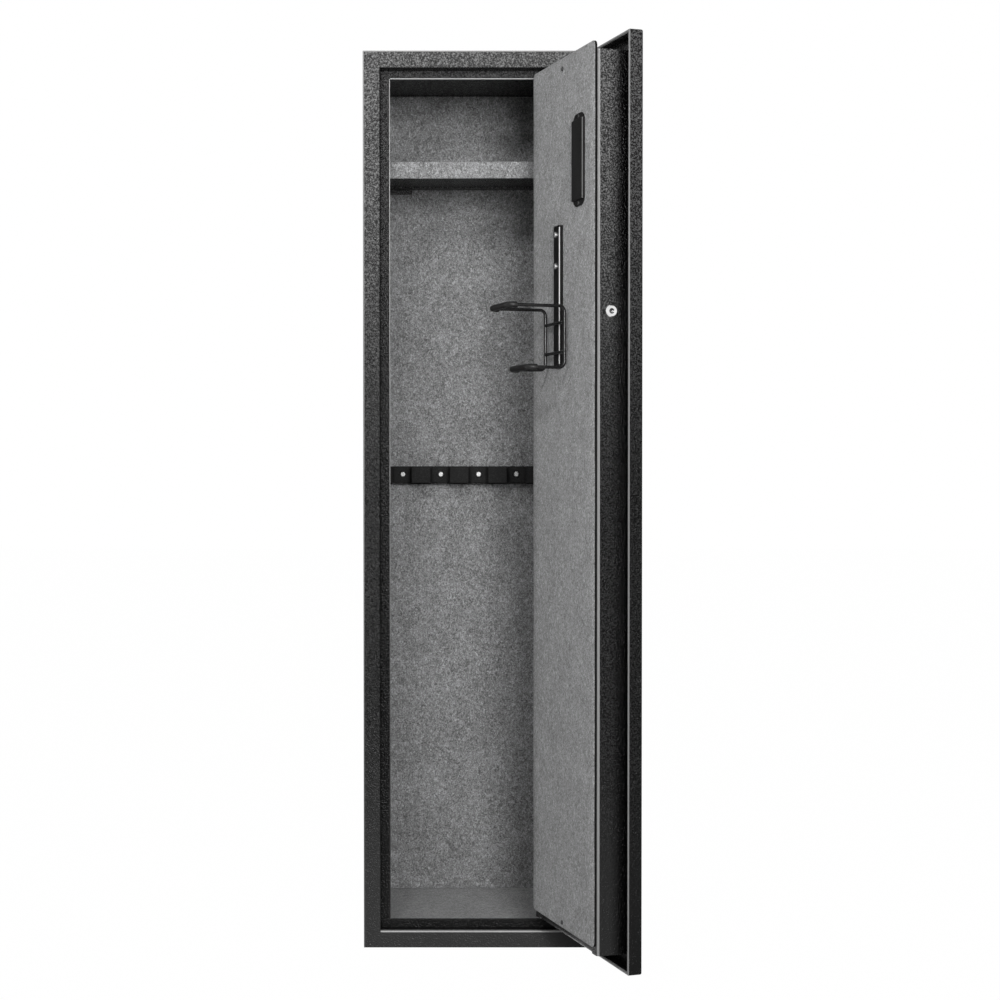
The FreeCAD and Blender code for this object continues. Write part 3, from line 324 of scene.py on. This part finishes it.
def jambLightAndShade(finish, tone):
    width = rims["width"]
    outer, front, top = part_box("right_jamb")[1].x, cadFront(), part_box("left_jamb")[1].z
    stopX = -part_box("left_jamb")[1].x
    sillStop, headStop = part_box("sill_jamb")[1].z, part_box("head_jamb")[0].z
    x, y, z = finish.axes()
    wide = x.absolute()
    rear = y.maths("GREATER_THAN", front + rims["rear"])
    least = rims["fadeLeast"]
    fade = least + (1 - least) * z.clamped(rims["fadeLow"], rims["fadeHigh"])
    sides = wide.near(stopX, width) * z.near((sillStop + headStop) / 2, (headStop - sillStop) / 2)
    head = z.near(headStop, width) * wide.maths("LESS_THAN", stopX)
    lip = y.maths("LESS_THAN", front + rims["sillDepth"])
    low = lip * z.near(sillStop - jambForm["stop"], width) * wide.maths("LESS_THAN", jambForm["inner"])
    recess = y.maths("GREATER_THAN", front + rims["recessFrom"])
    edges = sum(
        axis.near(end - rims["edgeIn"], rims["edgeHalf"]) for axis, end in ((wide, outer), (z, top))
    )
    # painted shade in the recess behind the face, then painted highlights along the outer edges, the sill lip and
    # the stop
    for factor, level in (
        (recess * rims["recessShade"], 0.0),
        (edges * (1 - rear) * fade, rims["edgeHighlightTone"]),
        (low * (1 - rear), rims["sillHighlightTone"]),
        ((sides + head) * rear * fade, rims["stopHighlightTone"]),
    ):
        tone = finish.blend(factor, tone, grey(level))
    return tone


# a painted highlight along a fold at the given depth behind the front
def foldHighlight(finish, tone, y, depth, level):
    line = y.near(cadFront() + depth, doorForm["hem"])
    return finish.blend(line * rims["foldShare"], tone, grey(level))


def hemHighlight(finish, tone):
    y = finish.axes(finish.doorPlace())[1]
    return foldHighlight(finish, tone, y, doorForm["flange"], rims["hemHighlightTone"])


def bendLightAndShade(finish, tone):
    y = finish.axes(finish.doorPlace())[1]
    light = y.clamped(cadFront() + rims["channelDark"], cadFront() + rims["channelLight"])
    tone = finish.blend(light, grey(rims["channelShade"]), tone)  # painted shade in the gap behind the pan
    return foldHighlight(finish, tone, y, doorForm["bend"], rims["bendHighlightTone"])


kindPaintedLight = {"plain": plainRims, "jamb": jambLightAndShade, "hem": hemHighlight, "bend": bendLightAndShade}

# the speckle has three tones; a lighter set of tones takes over with height, as painted light from above
paint = {
    # low holds the shaded tones and high the lit tones of the same paint: painted light
    "low": (0.001, 0.006, 0.024),
    "high": (0.014, 0.046, 0.15),
    "steps": (0.36, 0.50, 0.66),
    "middle": 0.5,
    "paintedLightFrom": 0.70,
    "paintedLightTo": 1.42,
    "foot": 0.024,
    "footTo": 0.45,
    "fleckGrain": 430.0,
    "grain": 420.0,
    "rippleShare": 0.8,
    "relief": (0.6, 0.6),
    "distance": 0.0012,
    "roughLow": 0.14,
    "roughHigh": 0.28,
    "specular": 0.08,
}


def hammerPaint(name, kind="plain", grain=1.0, strength=1.0, level=1.0, sharp=1.0):
    material, finish = newFinish(name)
    pebbles = finish.cells(paint["grain"] * grain, "SMOOTH_F1", smooth=0.5)
    ripple = finish.noise(paint["grain"] * paint["rippleShare"] * grain, detail=3.0, rough=0.6)
    flecks = finish.noise(paint["fleckGrain"] * grain, detail=1.5, rough=0.6)
    flecks = paint["middle"] + sharp * (flecks - paint["middle"])
    low, high = [
        finish.ramp(flecks, *zip(paint["steps"], (grey(level * tone) for tone in paint[share])))
        for share in ("low", "high")
    ]
    # painted light: the shaded tones low down give way to the lit tones towards the top
    height = finish.axes()[2]
    tone = finish.blend(height.clamped(paint["paintedLightFrom"], paint["paintedLightTo"]), low, high)
    # painted reflection of the pale floor: the paint turns plain and a little lighter towards the foot
    foot = 1 - height.clamped(0.0, paint["footTo"])
    tone = kindPaintedLight[kind](finish, finish.blend(foot, tone, grey(level * level * paint["foot"])))
    rough = paint["roughLow"] + (paint["roughHigh"] - paint["roughLow"]) * ripple
    relief = layered(paint["relief"], (pebbles, ripple))
    finish.surface({
        "Base Color": tone, "Roughness": rough, "Specular IOR Level": paint["specular"],
        "Normal": finish.bump(relief, paint["distance"], strength)
    })
    return material


felt = {
    "dark": 0.024,
    "middle": 0.165,
    "middleLow": 0.7,
    "middleHigh": 1.35,
    "light": 0.46,
    "warm": -0.012,
    "steps": (0.36, 0.46, 0.52, 0.62),
    "flecks": 520.0,
    "tufts": 175.0,
    "fibres": 300.0,
    "fibreStretch": (1.0, 1.0, 0.3),
    "clouds": 26.0,
    "shares": (0.34, 0.40, 0.2, 0.06),
    "relief": (0.6, 0.7, 0.3),
    "distance": 0.0018,
    "strength": 0.9,
    "rough": 0.97,
    "specular": 0.1,
    "sheen": 0.2,
    "sheenRough": 0.6,
}


def feltCloth(name):
    material, finish = newFinish(name)
    flecks = finish.noise(felt["flecks"], detail=4.0, rough=0.75, twist=0.8)
    tufts = finish.noise(felt["tufts"], detail=4.0, rough=0.7, twist=1.6)
    clouds = finish.noise(felt["clouds"], detail=2.0)
    along = finish.place(stretch=felt["fibreStretch"])
    fibres = finish.noise(felt["fibres"], detail=3.0, where=along, twist=2.5)
    levels = (
        grey(felt["dark"]), grey(felt["middle"] * felt["middleLow"]),
        grey(felt["middle"] * felt["middleHigh"], felt["warm"]), grey(felt["light"], felt["warm"])
    )
    mixed = layered(felt["shares"], (flecks, tufts, fibres, clouds))
    relief = layered(felt["relief"], (flecks, tufts, fibres))
    finish.surface({
        "Base Color": finish.ramp(mixed, *zip(felt["steps"], levels)), "Roughness": felt["rough"],
        "Sheen Weight": felt["sheen"], "Sheen Roughness": felt["sheenRough"],
        "Specular IOR Level": felt["specular"],
        "Normal": finish.bump(relief, felt["distance"], felt["strength"])
    })
    return material


twoStops = (0.35, 0.65)  # where the darker and the lighter tone of a plain finish stand

board = {
    "low": 0.002,
    "high": 0.007,
    "warm": 0.05,
    "fibres": 900.0,
    "layers": 140.0,
    "stretch": (1, 1, 4),
    "shares": (0.6, 0.4),
    "rough": 0.9,
    "specular": 0.08,
    "distance": 0.0004,
    "strength": 0.6,
}


def fibreBoard():
    material, finish = newFinish("fibreBoard")
    fibres = finish.noise(board["fibres"], detail=4.0, rough=0.7)
    layers = finish.noise(board["layers"], detail=2.0, where=finish.place(stretch=board["stretch"]))
    levels = grey(board["low"]), grey(board["high"], board["warm"])
    tone = finish.ramp(layered(board["shares"], (fibres, layers)), *zip(twoStops, levels))
    finish.surface({
        "Base Color": tone, "Roughness": board["rough"], "Specular IOR Level": board["specular"],
        "Normal": finish.bump(fibres, board["distance"], board["strength"])
    })
    return material


foam = {
    "pores": 900.0,
    "clouds": 40.0,
    "cloudShare": 0.2,
    "tones": ((0.05, 0.003), (0.55, 0.009), (1.0, 0.02)),
    "rough": 0.78,
    "roughMore": 0.15,
    "specular": 0.2,
    "distance": 0.0006,
    "strength": 0.8,
}


def restFoam():
    material, finish = newFinish("restFoam")
    pores = finish.cells(foam["pores"])
    clouds = finish.noise(foam["clouds"], detail=3.0)
    stops = [(at, grey(level)) for at, level in foam["tones"]]
    finish.surface({
        "Base Color": finish.ramp(pores + foam["cloudShare"] * clouds, *stops),
        "Roughness": foam["rough"] + foam["roughMore"] * clouds,
        "Specular IOR Level": foam["specular"],
        "Normal": finish.bump(pores, foam["distance"], foam["strength"])
    })
    return material


metals = {
    "zincSteel": {"low": 0.20, "high": 0.34, "warm": 0.02, "rough": 0.34, "line": 500.0},
    "polishedSteel": {"low": 0.15, "high": 0.25, "warm": 0.0, "rough": 0.42, "line": 800.0},
    "boltSteel": {"low": 0.66, "high": 0.80, "warm": 0.0, "rough": 0.22, "line": 700.0},
    "keyMetal": {"low": 0.20, "high": 0.32, "warm": 0.02, "rough": 0.30, "line": 900.0},
    "knobChrome": {"low": 0.12, "high": 0.20, "warm": 0.0, "rough": 0.30, "line": 900.0},
    "bearingBronze": {"low": 0.32, "high": 0.46, "warm": 0.28, "rough": 0.38, "line": 600.0},
}

brushing = {
    "stretch": (0.15, 0.15, 1.0),
    "stains": 60.0,
    "shares": (0.6, 0.4),
    "roughLow": 0.75,
    "roughMore": 0.5,
    "distance": 0.00012,
    "strength": 0.35,
}

bolt = {"recess": 0.0041, "shade": 0.09}


# painted shade inside the recess at the bolt's end
def boltRecessShade(finish, tone):
    low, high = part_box("locking_bolt")
    middle = (low + high) / 2
    axis = Vector([float(value) for value in joints["bolt_slide"]["axis"]])
    x, y, z = finish.axes()
    across = axis.x * (y - middle.y) - axis.y * (x - middle.x)
    up = z - middle.z
    radius = (across * across + up * up).maths("SQRT")
    inside = radius.maths("LESS_THAN", bolt["recess"])
    return finish.blend(inside, tone, grey(bolt["shade"]))


def metalFinish(name, shading=None):
    values = metals[name]
    material, finish = newFinish(name)
    grain = finish.place(stretch=brushing["stretch"])
    lines = finish.noise(values["line"], detail=3.0, rough=0.6, where=grain)
    stains = finish.noise(brushing["stains"], detail=4.0, rough=0.6)
    levels = [grey(values[share], values["warm"]) for share in ("low", "high")]
    tone = finish.ramp(layered(brushing["shares"], (lines, stains)), *zip(twoStops, levels))
    if shading:
        tone = shading(finish, tone)
    finish.surface({
        "Base Color": tone, "Metallic": 1.0,
        "Roughness": values["rough"] * (brushing["roughLow"] + brushing["roughMore"] * stains),
        "Normal": finish.bump(lines, brushing["distance"], brushing["strength"])
    })
    return material


plastics = {
    "coverPlastic": {"low": 0.004, "high": 0.011, "rough": 0.46, "grain": 1500.0, "depth": 0.0002},
    "panelPlastic": {"low": 0.005, "high": 0.013, "rough": 0.46, "grain": 1500.0, "depth": 0.0002},
    "buttonPlastic": {"low": 0.05, "high": 0.08, "rough": 0.26, "grain": 700.0, "depth": 0.00004},
    "cellWrap": {"low": 0.05, "high": 0.09, "rough": 0.30, "grain": 120.0, "depth": 0.0001},
    "leadSleeve": {"low": 0.010, "high": 0.02, "rough": 0.55, "grain": 500.0, "depth": 0.0001},
    "rackSleeving": {"low": 0.004, "high": 0.009, "rough": 0.42, "grain": 400.0, "depth": 0.0002},
    "rackPlate": {"low": 0.003, "high": 0.008, "rough": 0.3, "grain": 240.0, "depth": 0.0003},
    "rackCoat": {"low": 0.004, "high": 0.009, "rough": 0.2, "grain": 240.0, "depth": 0.00035},
    "blackScrews": {"low": 0.008, "high": 0.02, "rough": 0.34, "grain": 900.0, "depth": 0.0001},
}

# how strongly each plastic mirrors the room, where it isn't the plain amount
shine = {
    "plain": 0.22,
    "coverPlastic": 0.10,
    "panelPlastic": 0.12,
    "rackPlate": 0.15,
    "blackScrews": 0.4,
}

handling = {"smears": 35.0, "shares": (0.5, 0.5), "middle": 0.5, "roughMore": 0.12, "strength": 0.6}


def plasticFinish(name, shading=None):
    values = plastics[name]
    material, finish = newFinish(name)
    grain = finish.noise(values["grain"], detail=2.0)
    smears = finish.noise(handling["smears"], detail=3.0)
    levels = grey(values["low"]), grey(values["high"])
    tone = finish.ramp(layered(handling["shares"], (grain, smears)), *zip(twoStops, levels))
    if shading:
        tone = shading(finish, tone)
    finish.surface({
        "Base Color": tone,
        "Roughness": values["rough"] + handling["roughMore"] * (smears - handling["middle"]),
        "Specular IOR Level": shine.get(name, shine["plain"]),
        "Normal": finish.bump(grain, values["depth"], handling["strength"])
    })
    return material


# painted highlight lines along one long edge of the battery cover and of the rack channel
corners = {
    "across": 0.0022,
    "deep": 0.001,
    "endGap": 0.003,
    "battery_cover": 0.09,
    "rack_channel": 0.45,
}


def cornerHighlight(node):
    def shading(finish, tone):
        low, high = closedSpan(node)
        x, y, z = finish.axes(finish.doorPlace())
        line = x.near(low.x, corners["across"]) * y.near(high.y, corners["deep"])
        tall = z.near((low.z + high.z) / 2, (high.z - low.z) / 2 - corners["endGap"])
        return finish.blend(line * tall, tone, grey(corners[node]))

    return shading


glass = {
    "dark": (0.010, 0.016, 0.030, 1),
    "light": (0.022, 0.034, 0.060, 1),
    "rows": 700.0,
    "smears": 50.0,
    "rough": 0.05,
    "roughMore": 0.16,
    "specular": 0.6,
}


def scannerGlass():
    material, finish = newFinish("scannerGlass")
    rows = finish.cells(glass["rows"], "DISTANCE_TO_EDGE")
    smears = finish.noise(glass["smears"], detail=4.0)
    finish.surface({
        "Base Color": finish.ramp(rows, (0.0, glass["dark"]), (0.5, glass["light"])),
        "Roughness": glass["rough"] + glass["roughMore"] * smears,
        "Specular IOR Level": glass["specular"]
    })
    return material


lens = {
    "dark": (0.03, 0.16, 0.05, 1),
    "light": (0.10, 0.38, 0.14, 1),
    "facets": 1400.0,
    "rough": 0.12,
    "distance": 0.0002,
    "strength": 0.4,
}


def lampLens():
    material, finish = newFinish("lampLens")
    facets = finish.cells(lens["facets"])
    finish.surface({
        "Base Color": finish.ramp(facets, (0.1, lens["dark"]), (0.8, lens["light"])),
        "Roughness": lens["rough"],
        "Normal": finish.bump(facets, lens["distance"], lens["strength"])
    })
    return material


circuit = {
    "track": (0.05, 0.24, 0.09, 1),
    "plain": (0.012, 0.10, 0.035, 1),
    "land": (0.5, 0.46, 0.36, 1),
    "tracks": 240.0,
    "trackEdges": (0.02, 0.06),
    "lands": 90.0,
    "landRadius": 0.07,
    "landEdge": 0.01,
    "rough": 0.32,
    "distance": 0.0001,
}


def circuitGreen():
    material, finish = newFinish("circuitGreen")
    tracks = finish.cells(circuit["tracks"], "DISTANCE_TO_EDGE").clamped(*circuit["trackEdges"])
    lands = (circuit["landRadius"] - finish.cells(circuit["lands"])).clamped(0.0, circuit["landEdge"])
    tone = finish.blend(tracks, circuit["track"], circuit["plain"])
    finish.surface({
        "Base Color": finish.blend(lands, tone, circuit["land"]), "Roughness": circuit["rough"],
        "Normal": finish.bump(tracks, circuit["distance"])
    })
    return material


slotFinishes = {
    "painted_shell": hammerPaint("hammerPaint"),
    "painted_inner": hammerPaint("innerPaint", grain=1.2, strength=0.8),
    "grey_felt": feltCloth("greyFelt"),
    "fibre_board": fibreBoard(),
    "rest_foam": restFoam(),
    "zinc_steel": metalFinish("zincSteel"),
    "polished_steel": metalFinish("polishedSteel"),
    "bearing_bronze": metalFinish("bearingBronze"),
    "panel_plastic": plasticFinish("panelPlastic"),
    "knob_chrome": metalFinish("knobChrome"),
    "key_metal": metalFinish("keyMetal"),
    "scanner_glass": scannerGlass(),
    "lamp_plastic": lampLens(),
    "button_plastic": plasticFinish("buttonPlastic"),
    "circuit_board": circuitGreen(),
    "cell_wrap": plasticFinish("cellWrap"),
    "rack_coating": plasticFinish("rackCoat"),
    "rack_sleeving": plasticFinish("rackSleeving"),
    "black_screws": plasticFinish("blackScrews"),
    "lead_sleeve": plasticFinish("leadSleeve"),
}

# folded sheets and a few single pieces have a finish of their own; the door pan and channels take darker copies of
# the same paint as painted shade, the pan with a harsher speckle
kindLevels = {
    "jamb": {"level": 1.0},
    "hem": {"level": 0.42, "sharp": 2.4},
    "bend": {"level": 0.75, "sharp": 1.3},
}

nodeFinishes = {
    "left_jamb": "jamb", "right_jamb": "jamb", "head_jamb": "jamb", "sill_jamb": "jamb",
    "door_pan": "hem", "free_side_channel": "bend", "hinge_side_channel": "bend",
    "locking_bolt": "bolt", "battery_cover": "cover", "rack_channel": "rack",
}


def paintFrame():
    slots = {part["node"]: part["material_slot"] for part in record["subparts"]}
    special = {kind: hammerPaint(kind + "Paint", kind, **values) for kind, values in kindLevels.items()}
    special["bolt"] = metalFinish("boltSteel", boltRecessShade)
    special["cover"] = plasticFinish("coverPlastic", cornerHighlight("battery_cover"))
    special["rack"] = plasticFinish("rackPlate", cornerHighlight("rack_channel"))
    for name, piece in nodes.items():
        finish = special[nodeFinishes[name]] if name in nodeFinishes else slotFinishes[slots[name]]
        piece.data.materials.clear()
        piece.data.materials.append(finish)
    print("finishes on", len(nodes), "nodes")


# pieces

# lengths in metres, angles in degrees
meshing = {"merge": 0.00002, "flat": 1, "sharp": 40, "cut": 0.00001}


def newPiece(name, shape):
    mesh = bpy.data.meshes.new(name)
    shape.to_mesh(mesh)
    shape.free()
    piece = bpy.data.objects.new(name, mesh)
    bpy.context.scene.collection.objects.link(piece)
    return piece


def dress(piece, body, slot):
    piece.data.materials.append(slotFinishes[slot])
    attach(piece, body)


def copied(node):  # a node's mesh with its flat faces whole again
    shape = bmesh.new()
    shape.from_mesh(nodes[node].data)
    bmesh.ops.remove_doubles(shape, verts=shape.verts, dist=meshing["merge"])
    bmesh.ops.dissolve_limit(
        shape, angle_limit=math.radians(meshing["flat"]), verts=shape.verts, edges=shape.edges
    )
    return shape


def sharpEdges(shape):
    least = math.radians(meshing["sharp"])
    return [
        edge for edge in shape.edges
        if len(edge.link_faces) == 2 and edge.calc_face_angle(0) > least
    ]


def softened(shape, radius, segments=2):
    bmesh.ops.bevel(
        shape, geom=sharpEdges(shape), offset=radius, segments=segments, profile=0.5,
        affect="EDGES", material=-1
    )


def gridded(shape, step, axes):  # cut into a grid that is fine enough to wave
    low, high = [[least(vert.co[i] for vert in shape.verts) for i in range(3)] for least in (min, max)]
    for axis in axes:
        normal = Vector([1.0 if i == axis else 0.0 for i in range(3)])
        count = int((high[axis] - low[axis]) / step)
        for i in range(1, count):
            at = low[axis] + (high[axis] - low[axis]) * i / count
            bmesh.ops.bisect_plane(
                shape, geom=shape.verts[:] + shape.edges[:] + shape.faces[:],
                plane_co=normal * at, plane_no=normal, dist=meshing["cut"]
            )


sheets = {
    "step": 0.018,
    "edge": 0.0009,
    "wave": 0.0007,
    "waveScale": 9.0,
    "fineShare": 0.5,
    "fineScale": 31,
    "doorWave": 0.6,
}


def waved(shape, normal, amount):
    push = Vector(normal)
    for vert in shape.verts:
        fine = sheets["fineShare"] * noise.noise(vert.co * sheets["fineScale"])
        rise = noise.noise(vert.co * sheets["waveScale"]) + fine
        vert.co += push * amount * rise


def smoothed(piece):
    for face in piece.data.polygons:
        face.use_smooth = True


def feltSheet(name, node, body, axes, normal, side=0, wave=1.0, mount=None):
    shape = copied(node)
    if side:  # keep one of a mirrored pair
        gone = [vert for vert in shape.verts if vert.co.x * side < 0]
        bmesh.ops.delete(shape, geom=gone, context="VERTS")
    softened(shape, sheets["edge"])
    gridded(shape, sheets["step"], axes)
    waved(shape, normal, sheets["wave"] * wave)
    if mount:
        addPlugs(shape, mount, node, axes)
    piece = newPiece(name, shape)
    smoothed(piece)
    dress(piece, body, "grey_felt")
    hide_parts(node)


# discs of felt still in place in the pre-cut anchor holes
plugs = {"gap": 0.00015, "sides": 48, "sink": 0.0004}


def addPlugs(shape, mountName, node, axes):
    mount = [entry for entry in record["mounts"] if entry["name"] == mountName][0]
    thin = 3 - sum(axes)
    low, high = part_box(node)
    turn = Matrix.Rotation(math.radians(90), 4, "X") if thin == 1 else Matrix.Identity(4)
    radius = mount["dims"]["hole_r_mm"] / 1000 - plugs["gap"]
    for i in (-0.5, 0.5):
        for j in (-0.5, 0.5):
            place = Vector(mount["pos_m"])
            place[axes[0]] += i * mount["dims"]["spacing_x_mm"] / 1000
            place[axes[1]] += j * mount["dims"]["spacing_y_mm"] / 1000
            place[thin] = (low[thin] + high[thin]) / 2
            bmesh.ops.create_cone(
                shape, cap_ends=True, segments=plugs["sides"], radius1=radius, radius2=radius,
                depth=high[thin] - low[thin] - plugs["sink"],
                matrix=Matrix.Translation(place) @ turn
            )


def feltPieces():
    feltSheet(
        "backFelt", "back_felt", "cabinet", (0, 2),
        (0, 1, 0), mount="back_anchors"
    )
    feltSheet(
        "floorFelt", "floor_felt", "cabinet", (0, 1),
        (0, 0, 1), mount="floor_anchors"
    )
    for name, side, panel in (("leftFelt", -1, "left_panel"), ("rightFelt", 1, "right_panel")):
        feltSheet(
            name, "side_felts", "cabinet", (1, 2),
            (1, 0, 0), side=side
        )
    feltSheet(
        "shelfFelt", "shelf_felt", "cabinet",
        (0, 1), (0, 0, 1)
    )
    feltSheet(
        "doorFelt", "liner_felt", "door",
        (1, 2),
        doorInward(), wave=sheets["doorWave"]
    )
    print("felt laid")


def doorInward():  # from the door's front into the door, as it stands open
    return Vector([float(value) for value in joints["button_press"]["axis"]])


rest = {"edge": 0.0022, "segments": 3}


def foamRest():
    shape = copied("rest_pad")
    softened(shape, rest["edge"], rest["segments"])
    piece = newPiece("foamRest", shape)
    smoothed(piece)
    dress(piece, "cabinet", "rest_foam")
    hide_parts("rest_pad")
    print("foam rest fitted")


paintFrame()
makeCamera()
for lamp in ("key", "top", "fill"):
    makeLight(lamp)
makeWorld()
makeFloor()
print("studio ready")
feltPieces()
foamRest()
